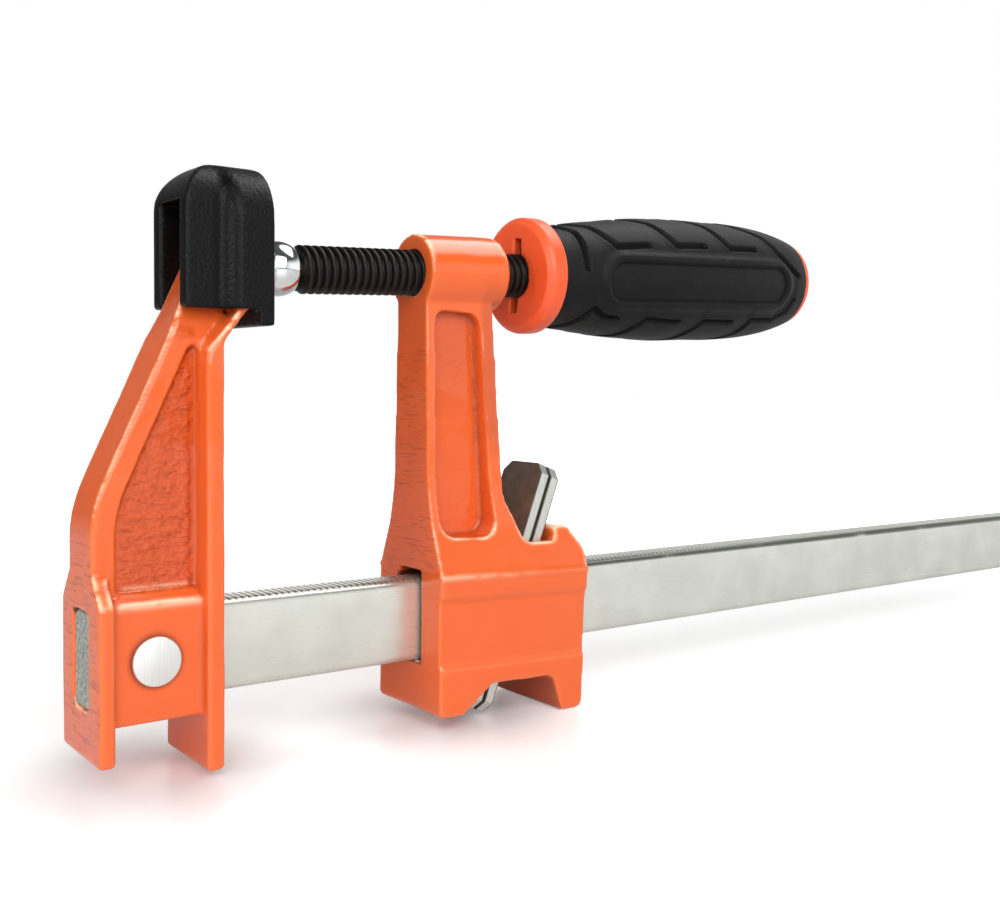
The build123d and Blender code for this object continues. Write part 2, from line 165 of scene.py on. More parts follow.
# %% [markdown]
# ## Words that every finish uses
# Paint, plating and rubber differ in the numbers, not in the kind of graph. Each finish starts from
# the place on the piece in millimetres, so that a grain of half a millimetre is half a millimetre on
# every piece, and ends in one shader. Colours are written as a painter's hex code and turned into the
# linear values that light adds up in.

# %% Colour, place and grain
def tint(code):
    """A hex colour as linear red, green, blue and alpha."""
    parts = [int(code[i : i + 2], 16) / 255 for i in (1, 3, 5)]
    return tuple(p / 12.92 if p <= 0.04045 else ((p + 0.055) / 1.055) ** 2.4 for p in parts) + (1.0,)


def new_finish(name):
    """An empty material, the wire that starts its graph, and the place in mm."""
    material = bpy.data.materials.new(name)
    material.use_nodes = True
    material.node_tree.nodes.clear()
    start = Wire(material.node_tree)
    return material, start, start.add("TexCoord", output="Object") * (1 / mm)


def grain(place, size, detail=2.0, stretch=(1.0, 1.0, 1.0)):
    """Soft noise from 0 to 1 whose lumps are about this many mm across."""
    lump_at_scale_one = 0.7
    values = {"Vector": place * stretch, "Scale": lump_at_scale_one / size, "Detail": detail}
    return place.add("TexNoise", {}, values)


def ramp(wire, low, high):
    """0 below low, 1 above high, smooth between."""
    values = {"Value": wire, "From Min": low, "From Max": high}
    return wire.add("MapRange", {"interpolation_type": "SMOOTHSTEP"}, values)


def blend(mask, under, over):
    """Colour over on colour under, where the mask is 1."""
    values = {"Factor": mask, mix_under: under, mix_over: over}
    return mask.add("Mix", {"data_type": "RGBA"}, values, mix_result)


def relief(start, height, depth, under=None):
    """Turn a height from 0 to 1 into a surface relief this many mm deep."""
    values = {"Height": height, "Distance": depth * mm, "Strength": 1.0}
    if under is not None:
        values["Normal"] = under
    return start.add("Bump", {}, values)


def painted(start, **sockets):
    """The shader with the named sockets, connected to the material's output."""
    values = {name.replace("_", " "): value for name, value in sockets.items()}
    shader = start.add("BsdfPrincipled", {}, values)
    start.add("OutputMaterial", {}, {"Surface": shader})


def mark(start, name):
    """A number stored on the mesh, such as how sharp the edge is there."""
    return start.add("Attribute", {"attribute_name": name}, output="Fac")


print("orange in linear light:", [round(v, 3) for v in tint("#f0602a")])

# %% [markdown]
# ## The sky
# The clamp was photographed on white. Fronts are bright, faces that look left are darker, and a soft
# box above and to the right leaves a pale band along every rounded top. The sky does three things
# with one strength: it is plain white where the camera sees it, dim where it lights the clamp, and
# in reflections it holds the soft box and a pale backdrop over a slightly darker rest, so that metal
# and enamel have something to show. A picture of a studio could be wrapped round the scene, but these
# few lines can be tuned.

# %% Sky
world = bpy.data.worlds.new("sky")
bpy.context.scene.world = world
world.use_nodes = True
world.node_tree.nodes.clear()
sky = Wire(world.node_tree)
direction = sky.add("TexCoord", output="Generated")
backdrop_way, softbox_way = (1.0, 0.1, 0.0), (0.57, -0.04, 0.82)
dim, backdrop_strength, softbox_strength, glossy_loss = 0.32, 1.2, 5.0, 0.22


def towards(way):
    """How far the sky's direction agrees with another, 1 where they are the same."""
    return sky.add("VectorMath", {"operation": "DOT_PRODUCT"}, {0: direction, 1: way}, "Value")


camera_ray = sky.add("LightPath", output="Is Camera Ray")
glossy_ray = sky.add("LightPath", output="Is Glossy Ray")
glass_ray = sky.add("LightPath", output="Is Transmission Ray")
height_up = sky.add("SeparateXYZ", {}, {0: direction}, "Z")
behind = towards(backdrop_way)
backdrop = ramp(behind, -0.2, 0.5) * (1 - ramp(height_up, 0.25, 0.55))
softbox = ramp(towards(softbox_way), 0.88, 0.97) * (1 - ramp(behind, 0.62, 0.72))
seen = camera_ray.add("Math", {"operation": "MAXIMUM"}, {0: camera_ray, 1: glass_ray})
mirrored = backdrop * backdrop_strength + softbox * softbox_strength - glossy_loss
strength = seen * (1 - dim) + glossy_ray * mirrored + dim
shine = sky.add("Background", {}, {"Color": tint("#ffffff"), "Strength": strength})
sky.add("OutputWorld", {}, {"Surface": shine})
bpy.context.scene.view_settings.view_transform = "Standard"
print("sky strength on the clamp:", dim)

# %% [markdown]
# ## Three lamps
# A broad lamp in front gives the even orange of the near faces. A smaller one stands behind on the
# right, so that the shadow falls forward. A weak, low one on the left lights the back of the fixed
# head and little else, because the sliding head stands in its shadow. The lamp behind is hidden from
# reflections, where the soft box in the sky does its work. Sun lamps would be simpler, but they would
# light both heads from the left alike.

# %% Lamps
def soft_lamp(name, place, aim, width, height, power):
    """A rectangular area lamp that points at a spot."""
    data = bpy.data.lights.new(name, "AREA")
    data.shape = "RECTANGLE"
    data.size = width
    data.size_y = height
    data.energy = power
    lamp = bpy.data.objects.new(name, data)
    bpy.context.scene.collection.objects.link(lamp)
    lamp.location = place
    lamp.rotation_mode = "QUATERNION"
    lamp.rotation_quaternion = (Vector(aim) - Vector(place)).to_track_quat("-Z", "Y")
    return lamp


between_heads = (0.08, 0.0, 0.07)
key = soft_lamp("key", (0.6, 0.42, 0.72), between_heads, width=0.7, height=0.5, power=9.5)
key.visible_glossy = False
soft_lamp("front", (-0.3, -1.0, 0.6), between_heads, width=1.4, height=1.0, power=17.0)
soft_lamp("left", (-0.85, -0.05, 0.32), between_heads, width=0.25, height=0.25, power=2.6)

# %% [markdown]
# ## The floor
# Product pictures stand on paper so bright that only the shadow tells where it lies. More light would
# wash out the clamp, so a glow that only the camera sees lifts the paper to white. It fades near the
# feet, where the photograph has its dark contact shadows. The lamp behind skips the floor, or its
# shadow would reach far to the front.

# %% Floor
floor_finish, start, place = new_finish("floor_paper")
paper = start.add("BsdfPrincipled", {}, {"Base Color": tint("#f4f4f4"), "Roughness": 0.35})
sees = start.add("LightPath", output="Is Camera Ray")
fixed_foot, sliding_foot = -10.0, 66.0
near_glow, far_glow = 0.34, 0.66


def away_from(x):
    """How many mm a point of the floor is from the foot of a head."""
    return place.add("VectorMath", {"operation": "LENGTH"}, {0: place - (x, 0.0, 0.0)}, "Value")


off_feet = ramp(away_from(fixed_foot), 10.0, 40.0) * ramp(away_from(sliding_foot), 10.0, 40.0)
far = ramp(away_from(fixed_foot), 300.0, 600.0)
glow_strength = sees * (off_feet * near_glow + far * far_glow)
glow = start.add("Emission", {}, {"Color": tint("#ffffff"), "Strength": glow_strength})
both = start.add("AddShader", {}, {0: paper, 1: glow})
start.add("OutputMaterial", {}, {"Surface": both})
reach = 8.0
corner_signs = ((-1, -1), (1, -1), (1, 1), (-1, 1))
corners = [(reach * x, reach * y, cad_low.z) for x, y in corner_signs]
floor_mesh = bpy.data.meshes.new("floor")
floor_mesh.from_pydata(corners, [], [(0, 1, 2, 3)])
floor_mesh.materials.append(floor_finish)
floor = bpy.data.objects.new("floor", floor_mesh)
bpy.context.scene.collection.objects.link(floor)
unlit = bpy.data.collections.new("not_lit_by_key")
unlit.objects.link(floor)
key.light_linking.receiver_collection = unlit
unlit.collection_objects[0].light_linking.link_state = "EXCLUDE"
print("floor at", round(cad_low.z / mm, 2), "mm")

# %% [markdown]
# ## Orange enamel
# Both heads are rough sand castings under thick glossy enamel. The paint levels itself into a shiny
# skin that still follows the lumps of the sand below. Edges, most of all those that face up, get a
# painted highlight, and concave corners get painted shade. One paint could cover all of it, but then
# every face would look alike. Marks on the mesh, numbers from 0 to 1 at each point, say where there is
# a painted edge highlight, painted shade in a corner, rough sand whose darker red is partly painted
# shade, a saw cut, other painted shade, slot walls darkened as painted shade, a painted glint on an
# edge or a painted highlight along a ledge, and each mark calls its own layer.

# %% Orange enamel
orange_enamel, start, place = new_finish("orange_enamel")
rough = mark(start, "rough")
sand = grain(place, 2.0, 2.0, (1.0, 1.0, 1.5))
saw_way = {"Vector": place, "Rotation": (radians(8), 0.0, 0.0), "Scale": (1.0, 0.16, 1.9)}
strokes = start.add("TexNoise", {}, {"Vector": start.add("Mapping", {}, saw_way), "Scale": 1.0})
scratch = ramp(strokes, 0.58, 0.68) * mark(start, "sawn")
broken = ramp(grain(place, 1.6, 3.0, (0.5, 0.5, 1.0)), 0.32, 0.5)
# Painted highlights: a cream glint on edges that face up, and a lit line along the ledges.
glint = mark(start, "glint") * broken + mark(start, "ledge") * (broken * 0.35 + 0.3)
enamel = blend(grain(place, 14.0) * 0.6, tint("#dc5b23"), tint("#e0662d"))
layers = (
    # Painted shade: concave corners are darkened.
    (mark(start, "hollow_shade") * 0.8, tint("#9c330c")),
    # Painted highlight: edges, most of all those that face up, are made paler.
    (mark(start, "edge") * 0.5, tint("#f29660")),
    # Rough sand: its darker red is partly the raw casting and partly painted shade in the pockets.
    (rough * 0.75, blend(sand, tint("#a33a0e"), tint("#cc4f1a"))),
    (scratch * 0.45, tint("#a03a10")),
    (mark(start, "shade") * 0.7, tint("#7a2406")),
    # Painted shade on the walls of the slots round the bar.
    (mark(start, "slot_shade") * 0.9, tint("#1c1511")),
    # Painted highlight: the glints and the lit ledges.
    (glint * 0.8, tint("#ffd3b0")),
)
for mask, colour in layers:
    enamel = blend(mask, enamel, colour)
surface = relief(start, sand * (rough * 0.98 + 0.02), 2.1)
surface = relief(start, 1 - scratch, 0.15, surface)
surface = relief(start, grain(place, 2.2, 1.0), 0.045, surface)
surface = relief(start, grain(place, 6.0, 1.0), 0.1, surface)
painted(
    start, Base_Color=enamel, Roughness=ramp(sand, 0.2, 0.9) * 0.1 + 0.3, Specular_IOR_Level=0.12,
    Coat_Weight=0.8, Coat_Roughness=0.06, Normal=surface,
)
print("enamel nodes:", len(orange_enamel.node_tree.nodes))

# %% [markdown]
# ## Plated bar and bright steel
# The bar is cold drawn, so its faces carry fine lines along its length, and zinc plating leaves a
# satin, slightly milky metal. An anisotropic shader could stretch the gloss, but the lines would be
# missing, so noise is stretched a hundredfold along the bar. Marks darken the bottoms of the teeth as
# painted shade and the upper corner in blotches as a painted dark reflection, and speckle the sheared
# end. The rivet, the pin and the spring are bright steel, brushed the other way.

# %% Zinc and steel
zinc_plate, start, place = new_finish("zinc_plate")
lines = grain(place, 0.35, 3.0, (0.01, 1.0, 1.0))
clouds = grain(place, 9.0)
shade = blend(ramp(clouds, 0.3, 0.8), tint("#d0d2c9"), tint("#dddfd6"))
# Painted dark reflection: blotches along the bar's upper corner.
corner_dark_reflection = ramp(grain(place, 3.0, 5.0, (0.25, 1.0, 1.0)), 0.15, 0.45) * mark(start, "corner")
shade = blend(corner_dark_reflection * 0.9, shade, tint("#4a4c47"))
# Painted shade: the bottoms of the teeth are darker.
shade = blend(mark(start, "tooth"), shade, tint("#4f504b"))
cut = mark(start, "cut")
speckle = ramp(grain(place, 0.6, 3.0), 0.35, 0.65)
shade = blend(cut, shade, blend(speckle, tint("#8f948d"), tint("#c6cac1")))
painted(
    start, Base_Color=shade, Metallic=0.75, Roughness=lines * 0.16 + 0.22 + cut * 0.3,
    Normal=relief(start, lines, 0.012),
)

bright_steel, start, place = new_finish("bright_steel")
brushed = grain(place, 0.25, 2.0, (1.0, 1.0, 0.08))
painted(
    start, Base_Color=blend(brushed, tint("#d6d8d4"), tint("#ecedea")), Metallic=0.9,
    Roughness=brushed * 0.2 + 0.28, Normal=relief(start, brushed, 0.015),
)
print("metal finishes:", zinc_plate.name, bright_steel.name)

# %% [markdown]
# ## Black finishes
# Three pieces are black, and each in its own way: the screw is oiled black oxide, paler where its
# crests are rubbed, the cap is a soft plastic with a fine moulded grain and a painted highlight on its
# edges, and the grip is a rubber that looks grey where light grazes it and is painted black as shade in
# its grooves. One black with three roughnesses would be quicker, but black shows little else than its
# grain and its gloss, so each gets its own.

# %% Black oxide, cap and grip
black_oxide, start, place = new_finish("black_oxide")
crest = mark(start, "crest")
rust = ramp(grain(place, 6.0), 0.5, 0.75) * ramp(grain(place, 0.8), 0.4, 0.7)
shade = blend(rust * 0.6, tint("#060505"), tint("#22140d"))
shade = blend(crest * 0.5, shade, tint("#2f2b27"))
rub = grain(place, 0.4)
painted(
    start, Base_Color=shade, Metallic=crest * 0.3, Roughness=rub * 0.2 + 0.3, Specular_IOR_Level=0.2,
    Normal=relief(start, rub, 0.02),
)

black_plastic, start, place = new_finish("cap_plastic")
pores = grain(place, 0.5, 2.0)
painted(
    # Painted highlight: the cap's edges, most of all those that face up, are lighter.
    start, Base_Color=blend(mark(start, "edge") * 0.7, tint("#030303"), tint("#1c1c1b")),
    Roughness=pores * 0.2 + 0.3, Specular_IOR_Level=0.15, Normal=relief(start, pores, 0.16),
)

grip_rubber, start, place = new_finish("grip_rubber")
pores = grain(place, 0.45, 2.0)
dust = ramp(grain(place, 5.0), 0.35, 0.8)
groove_mark = mark(start, "groove")
shade = blend(dust * 0.5, tint("#080808"), tint("#101010"))
# Painted shade: the grooves and the crease round the panel are darker.
shade = blend(groove_mark * 0.9, shade, tint("#010101"))
painted(
    start, Base_Color=shade, Roughness=pores * 0.15 + 0.45 + groove_mark * 0.3, Specular_IOR_Level=0.18,
    Sheen_Weight=0.02, Sheen_Roughness=0.5, Normal=relief(start, pores, 0.08),
)
print("black finishes:", black_oxide.name, black_plastic.name, grip_rubber.name)

# %% [markdown]
# ## Chrome, plates and orange plastic
# The swivel and the ball are chromed, so they mostly show the sky and need only a faint haze. The
# clutch plates keep the brown scale of hardening on their faces, and their edges are ground bright,
# with a dark line of painted shade on each side. The handle's core is a satin plastic, with a painted
# highlight along its edges. These could share one material with masks, but separate ones stay short
# and follow the real pieces.

# %% Chrome, hardened plates, orange plastic
chrome, start, place = new_finish("chrome")
haze = grain(place, 1.5)
painted(
    start, Base_Color=blend(haze, tint("#cfd1d2"), tint("#e9ebec")), Metallic=1.0,
    Roughness=haze * 0.08 + 0.07, Normal=relief(start, haze, 0.01),
)

plate_face, start, place = new_finish("hardened_face")
scale = grain(place, 2.2, 4.0)
painted(
    start, Base_Color=blend(scale, tint("#585046"), tint("#8e8677")), Metallic=0.6,
    Roughness=scale * 0.2 + 0.28, Normal=relief(start, scale, 0.03),
)

plate_edge, start, place = new_finish("ground_edge")
strokes = grain(place, 0.3, 2.0, (1.0, 1.0, 0.04))
across = mark(start, "across")
# Painted shade: a dark line along each side of the ground edge.
edge_side_shade = ramp(across, 0.14, 0.04) + ramp(across, 0.82, 0.94)
shade = blend(strokes, tint("#b9bbb4"), tint("#e2e4dd"))
painted(
    start, Base_Color=blend(edge_side_shade * 0.85, shade, tint("#2b2824")), Metallic=0.85,
    Roughness=strokes * 0.2 + 0.25, Normal=relief(start, strokes, 0.03),
)

orange_plastic, start, place = new_finish("orange_plastic")
cloud = grain(place, 3.0)
shade = blend(cloud * 0.4, tint("#e55224"), tint("#ee6439"))
painted(
    # Painted highlight: the core's edges, most of all those that face up, are paler.
    start, Base_Color=blend(mark(start, "edge") * 0.4, shade, tint("#f68a64")),
    Roughness=grain(place, 0.5) * 0.12 + 0.3, Normal=relief(start, cloud, 0.05),
)
print("finishes in all:", len(bpy.data.materials))

# %% [markdown]
# ## From a solid to a surface
# The frame's solids have knife-sharp edges and long thin triangles, which catch no light at their
# corners. A copy is melted into an even skin of small squares by a voxel remesh, then relaxed so that
# every edge rounds over as paint or a mould would round it. A Bevel modifier would be lighter, but it
# fails where fillets already meet. A second, wider relaxing is only measured: where the skin stands out
# from it there is an edge, and where it lies below there is a concave place. Those become the marks
# that the finishes ask for: a painted highlight on the edges, more where they face up, painted shade in
# the concave places, and a painted glint on edges that face up.

# %% Skins
def hang(name, mesh, finishes, body, slot, *nodes):
    """Make the mesh a smooth piece that rides on a body and stands for CAD nodes."""
    made = bpy.data.objects.new(name, mesh)
    bpy.context.scene.collection.objects.link(made)
    mesh.materials.clear()
    for finish in finishes:
        mesh.materials.append(finish)
    mesh.shade_smooth()
    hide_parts(*nodes)
    print(name, "has", len(mesh.polygons), "faces")
    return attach(made, body)


def points_of(mesh, kind="co"):
    """The places of a mesh's vertices in metres, or their normals, as an array (vertex, xyz)."""
    flat = np.zeros(len(mesh.vertices) * 3)
    mesh.vertices.foreach_get(kind, flat)
    return flat.reshape(-1, 3)


def normals_of(mesh):
    """The directions in which a mesh's vertices face."""
    return points_of(mesh, "normal")


def neighbours_mean(values, edges):
    """For every vertex, the mean of its neighbours' values."""
    count = np.bincount(edges.ravel(), minlength=len(values))[:, None]
    total = np.zeros_like(values)
    for one, other in ((0, 1), (1, 0)):
        for axis in range(values.shape[1]):
            total[:, axis] += np.bincount(edges[:, one], values[edges[:, other], axis], len(values))
    return total / np.maximum(count, 1)


def relax(values, edges, rounds):
    """Move every vertex's values halfway to its neighbours' mean, so many times."""
    for _ in range(rounds):
        values = (values + neighbours_mean(values, edges)) / 2
    return values


def store(mesh, name, values):
    """Keep a mark on the mesh: one number from 0 to 1 for every vertex."""
    attribute = mesh.attributes.new(name, "FLOAT", "POINT")
    attribute.data.foreach_set("value", np.clip(values, 0, 1).astype(np.float32))


def cut_away(mesh, place, direction):
    """Remove what lies beyond a plane and close the hole."""
    work = bmesh.new()
    work.from_mesh(mesh)
    bmesh.ops.remove_doubles(work, verts=work.verts, dist=1e-6)
    everything = work.verts[:] + work.edges[:] + work.faces[:]
    cut = bmesh.ops.bisect_plane(
        work, geom=everything, plane_co=place, plane_no=direction, clear_outer=True
    )
    rim = [e for e in cut["geom_cut"] if isinstance(e, bmesh.types.BMEdge)]
    bmesh.ops.triangle_fill(work, edges=rim, use_beauty=True)
    work.to_mesh(mesh)
    work.free()


# The wider relaxing reaches as far on coarse squares as on fine ones, which need more rounds for it.
# An edge is fully marked where it stands out by the full bulge, in mm.
wide_relaxing, full_bulge = 2.0, 0.2


def melted(node, voxel, rounds, cuts=()):
    """An even skin over a CAD node, relaxed, marked for painted edge highlights and painted shade."""
    source = bpy.data.objects.new("melting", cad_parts[node].data.copy())
    bpy.context.scene.collection.objects.link(source)
    for place, direction in cuts:
        cut_away(source.data, place, direction)
    remesh = source.modifiers.new("remesh", "REMESH")
    remesh.mode = "VOXEL"
    remesh.voxel_size = voxel * mm
    evaluated = source.evaluated_get(bpy.context.evaluated_depsgraph_get())
    mesh = bpy.data.meshes.new_from_object(evaluated)
    bpy.data.objects.remove(source)
    mesh.name = node + "_skin"
    edges = np.zeros(len(mesh.edges) * 2, int)
    mesh.edges.foreach_get("vertices", edges)
    edges = edges.reshape(-1, 2)
    relaxed = relax(points_of(mesh), edges, rounds)
    mesh.vertices.foreach_set("co", relaxed.ravel())
    mesh.update()
    normals = normals_of(mesh)
    rounder = relax(relaxed, edges, round(wide_relaxing / voxel**2))
    bulge = ((relaxed - rounder) * normals).sum(1)[:, None] / (full_bulge * mm)
    bulge = relax(bulge, edges, 2)[:, 0]
    # Painted light: edges that stand out are marked for a painted highlight, more where they face up,
    # places that lie below are marked for painted shade, and the glint is a painted highlight on edges
    # that face up.
    upward = np.clip(normals[:, 2] * 2 - 0.4, 0, 1)
    store(mesh, "edge", (bulge - 0.1) * (0.35 + 0.65 * upward))
    store(mesh, "hollow_shade", -bulge - 0.2)
    store(mesh, "glint", (bulge - 0.12) * 2.5 * upward)
    return mesh


print("an edge is fully marked where it stands out by", full_bulge, "mm")

# %% [markdown]
# ## What the castings share
# The two heads and the soft cap keep their solids' shape, so they are melted copies. The castings get a
# slow unevenness as well, up to a tenth of a millimetre, because sand moulds are never flat, and a bead
# of paint along their ledges. Their marks are written as bands and lines in millimetres. Painting them
# by hand would be freer, but a band says in one line what it marks and why it stops there.

# %% Bands, lines and sand
def sandy(mesh, size, depth, bead):
    """Push every point out or in by slow noise, and out by a bead, all in mm."""
    points = points_of(mesh)
    lumps = np.array([noise.noise(Vector(p / (size * mm))) for p in points])
    push = (lumps * depth + bead) * mm
    mesh.vertices.foreach_set("co", (points + normals_of(mesh) * push[:, None]).ravel())
    mesh.update()


def beyond(values, start, soft):
    """0 up to a value, rising to 1 over a soft width."""
    return np.clip((values - start) / soft, 0, 1)


def between(values, band, soft):
    """1 where a value lies in a band of (low, high), fading over a soft width inside it."""
    low, high = band
    return beyond(values, low, soft) * np.clip((high - values) / soft, 0, 1)


def line_at(level, height, soft):
    """1 at a height, fading above and below it."""
    return np.exp(-(((height - level) / soft) ** 2))


bar_low, bar_high = (np.array(v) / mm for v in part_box("bar"))
bar_half_width, slot_shade_inset = 4.5, 0.1
casting_voxel = 0.45
lump_size, lump_height = 7.0, 0.09


def inside_slot(y, z, room):
    """1 on the walls of the slots that the bar goes through, which are darkened as painted shade."""
    beside_bar = between(np.abs(y), (-1, bar_half_width - slot_shade_inset + room), 0.3)
    return beside_bar * between(z, (bar_low[2] - room, bar_high[2] + room), 0.4)


print("skins of castings have squares of", casting_voxel, "mm")

# %% [markdown]
# ## The fixed head
# The fixed head's back carries slanting strokes from the saw or the grinder, and its side pockets keep
# the raw sand, whose darker red is partly painted shade. A ring of painted shadow lies round the rivet,
# and painted shade under the cap. Paint lies thick on the ledge of the base, and a painted highlight
# runs along it and along the foot of the web. The strokes could be cut into the mesh, but they are
# thinner than its squares.

# %% Fixed head
fixed_skin = melted("fixed_head", casting_voxel, rounds=4)
x, y, z = points_of(fixed_skin).T / mm
facing_x = normals_of(fixed_skin)[:, 0]
# The pocket is marked rough; its darker red in the finish is partly painted shade.
pocket_x, pocket_y, pocket_z = (-19.5, -2.5), (0, 7.2), (37, 93)
pocket = between(x, pocket_x, 1.5) * between(np.abs(y), pocket_y, 1.0) * between(z, pocket_z, 2.0)
store(fixed_skin, "rough", pocket * (facing_x > -0.5))
back_x, sawn_z = -18, (3, 52)
store(fixed_skin, "sawn", (facing_x < -0.8) * (x < back_x) * between(z, sawn_z, 4.0))
# Painted shade on the slot walls round the bar.
store(fixed_skin, "slot_shade", inside_slot(y, z, room=0.3))
rivet_low, rivet_high = (np.array(v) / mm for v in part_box("bar_rivet"))
rivet_x, _, rivet_z = (rivet_low + rivet_high) / 2
rivet_radius = (rivet_high[0] - rivet_low[0]) / 2
from_rivet = np.hypot(x - rivet_x, z - rivet_z) - rivet_radius
base_side, cap_foot_z, jaw_plate_x = 6, 88, -12
on_side = np.abs(y) > base_side
# Painted shadow: a dark ring round the rivet on the sides of the head, and painted shade under the cap.
round_rivet = line_at(0, from_rivet, 0.7) * on_side
under_cap = 0.45 * beyond(z, cap_foot_z, 10) * beyond(x, jaw_plate_x, 6)
store(fixed_skin, "shade", np.maximum(round_rivet, under_cap))
# The ledge mark is a painted highlight along the ledge of the base and the foot of the web; the bead that
# sandy pushes out along the ledge is real shape.
base_ledge_z, base_ledge_x, web_foot_z, web_foot_x = 36.2, (-20, -2.2), 39.4, (-18, -3.5)
base_ledge = line_at(base_ledge_z, z, 0.8) * between(x, base_ledge_x, 0.5) * on_side
web_foot = line_at(web_foot_z, z, 0.4) * between(x, web_foot_x, 0.5)
store(fixed_skin, "ledge", base_ledge + 0.7 * web_foot)
sandy(fixed_skin, lump_size, lump_height, bead=0.3 * base_ledge)
hang("fixed_casting", fixed_skin, [orange_enamel], "bar_and_fixed_head", "orange_enamel", "fixed_head")

# %% [markdown]
# ## The sliding head
# The sliding head leans by two degrees in its play on the bar. It has the same sand and strokes, only
# fainter, and its slot, its cavity and the inside of its legs lie in shade. The lamps are broad and
# leave these places a little pale, so a mark deepens them and the rest stays bright.

# %% Sliding head
lift = 14.8
carriage_front, carriage_lean = 54.8, radians(2.0)
sliding_skin = melted("sliding_head", casting_voxel, rounds=3)
x, y, z = points_of(sliding_skin).T / mm
facing_x, facing_y, _ = normals_of(sliding_skin).T
sideways, from_middle = np.abs(facing_y) > 0.5, np.abs(y)
front_x, sawn_z = 56, (28, 95)
store(sliding_skin, "sawn", 0.7 * (facing_x < -0.8) * (x < front_x) * between(z, sawn_z, 6.0))
store(sliding_skin, "slot_shade", inside_slot(y, z, room=1.1))
# Painted shade: the rear flange's near face, the top of the web, the inside of the legs and the cavity
# behind the plates are darkened.
rear_flange_x, rear_flange_z = 70.5, (62, 108)
rear_flange = 0.45 * sideways * beyond(x, rear_flange_x, 1) * between(z, rear_flange_z, 8.0)
web_y, web_z, web_half_width, web_deepens_z = (0, 4.4), (46, 100), 4.6, 72
deep_web = 0.3 * sideways * (from_middle < web_half_width) * beyond(z, web_deepens_z, 16)
legs_x, legs_top_z = 62, 28
leg_inside = 0.8 * (facing_x < -0.5) * (x > legs_x) * (z < legs_top_z)
cavity_x, cavity_side, cavity_z = (69.5, 91.5), 8.9, (9, 42)
cavity_walls = (from_middle < cavity_side) * between(x, cavity_x, 0.5) * between(z, cavity_z, 2.0)
store(sliding_skin, "shade", rear_flange + deep_web + leg_inside + cavity_walls)
# The ledge mark is a painted highlight along the box's ledge, fading towards the back.
box_ledge_height, box_side, box_back, arm_front = 21.2, 9, 92, 52
above_carriage = z - lift + (x - carriage_front) * sin(carriage_lean)
box_ledge = line_at(box_ledge_height, above_carriage, 0.7) * (np.abs(facing_y) > 0.6)
box_ledge *= from_middle > box_side
store(sliding_skin, "ledge", box_ledge * np.clip((box_back - x) / (box_back - arm_front), 0.1, 1))
# The web is marked a little rough; its darker red is partly painted shade.
web_side = between(from_middle, web_y, 0.8) * between(z, web_z, 2.0)
store(sliding_skin, "rough", 0.2 * sideways * web_side)
sandy(sliding_skin, lump_size, lump_height, bead=0.35 * box_ledge)
hang("sliding_casting", sliding_skin, [orange_enamel], "sliding_head", "orange_enamel", "sliding_head")

# %% [markdown]
# ## The jaw cap
# The cap is moulded plastic and stays smooth, so it is melted and nothing more. Its walls are thin, so
# its squares are smaller than the castings'.

# %% Jaw cap
cap_skin = melted("jaw_cap", voxel=0.4, rounds=3)
hang("soft_cap", cap_skin, [black_plastic], "jaw_cap", "black_plastic", "jaw_cap")

# %% [markdown]
# ## Pieces made of rings
# A bar, a screw and a grip are all rings of points laid one after another along a line. One helper
# joins any stack of rings into a skin. It could be done with a lathe or a curve bevel, but only rings
# let each point of the thread, the teeth and the grooves have its own height. The screw's line comes
# from the carriage that holds it, and everything on the screw is placed along that line.

# %% Rings
def ring_skin(name, rings):
    """A closed skin over rings of points, given as an array (ring, point, xyz) in mm."""
    count, around, _ = rings.shape
    index = np.arange(count * around).reshape(count, around)
    ahead_index = np.roll(index, -1, axis=1)
    quads = np.stack([index[:-1], ahead_index[:-1], ahead_index[1:], index[1:]], axis=-1).reshape(-1, 4)
    faces = quads.tolist() + [index[0, ::-1].tolist(), index[-1].tolist()]
    mesh = bpy.data.meshes.new(name)
    mesh.from_pydata((rings.reshape(-1, 3) * mm).tolist(), [], faces)
    mesh.validate()
    return mesh


def flatten_caps(mesh):
    """Keep the end faces of a ring skin flat instead of shading them round."""
    mesh.shade_smooth()
    for face in mesh.polygons:
        face.use_smooth = len(face.vertices) == 4


def placed(points, matrix):
    """Points in mm moved by a matrix whose shifts are in mm."""
    turn = np.array(matrix.to_3x3())
    return points @ turn.T + np.array(matrix.translation)


screw_height, screw_lean, handle_turn = 93.6, radians(-4.4), radians(8.5)
carriage = Matrix.Translation((carriage_front, 0, lift)) @ Matrix.Rotation(carriage_lean, 4, "Y")
screw_line = carriage @ Matrix.Translation((0, 0, screw_height)) @ Matrix.Rotation(screw_lean, 4, "Y")
handle_line = screw_line @ Matrix.Rotation(handle_turn, 4, "X")
print("the screw points along", [round(v, 4) for v in screw_line.to_3x3().col[0]])

# %% [markdown]
# ## The bar
# The bar's top edge has fine teeth across it, about 1.6 mm apart, which the clutch plates bite. They
# could be a bump in the material, but from close by their silhouette shows, so they are cut into the
# rings: two rings on each land and two at the bottom of each notch.

# %% Bar
def rounded_box_loop(half_width, low, high, radius, steps):
    """Points round a rectangle with rounded corners, in (across, up)."""
    loop = []
    for corner, (y, z) in enumerate(((1, 1), (-1, 1), (-1, -1), (1, -1))):
        centre = (y * (half_width - radius), (high if z > 0 else low) - z * radius)
        for step in range(steps + 1):
            angle = pi / 2 * (corner + step / steps)
            loop.append((centre[0] + radius * cos(angle), centre[1] + radius * sin(angle)))
    return np.array(loop)


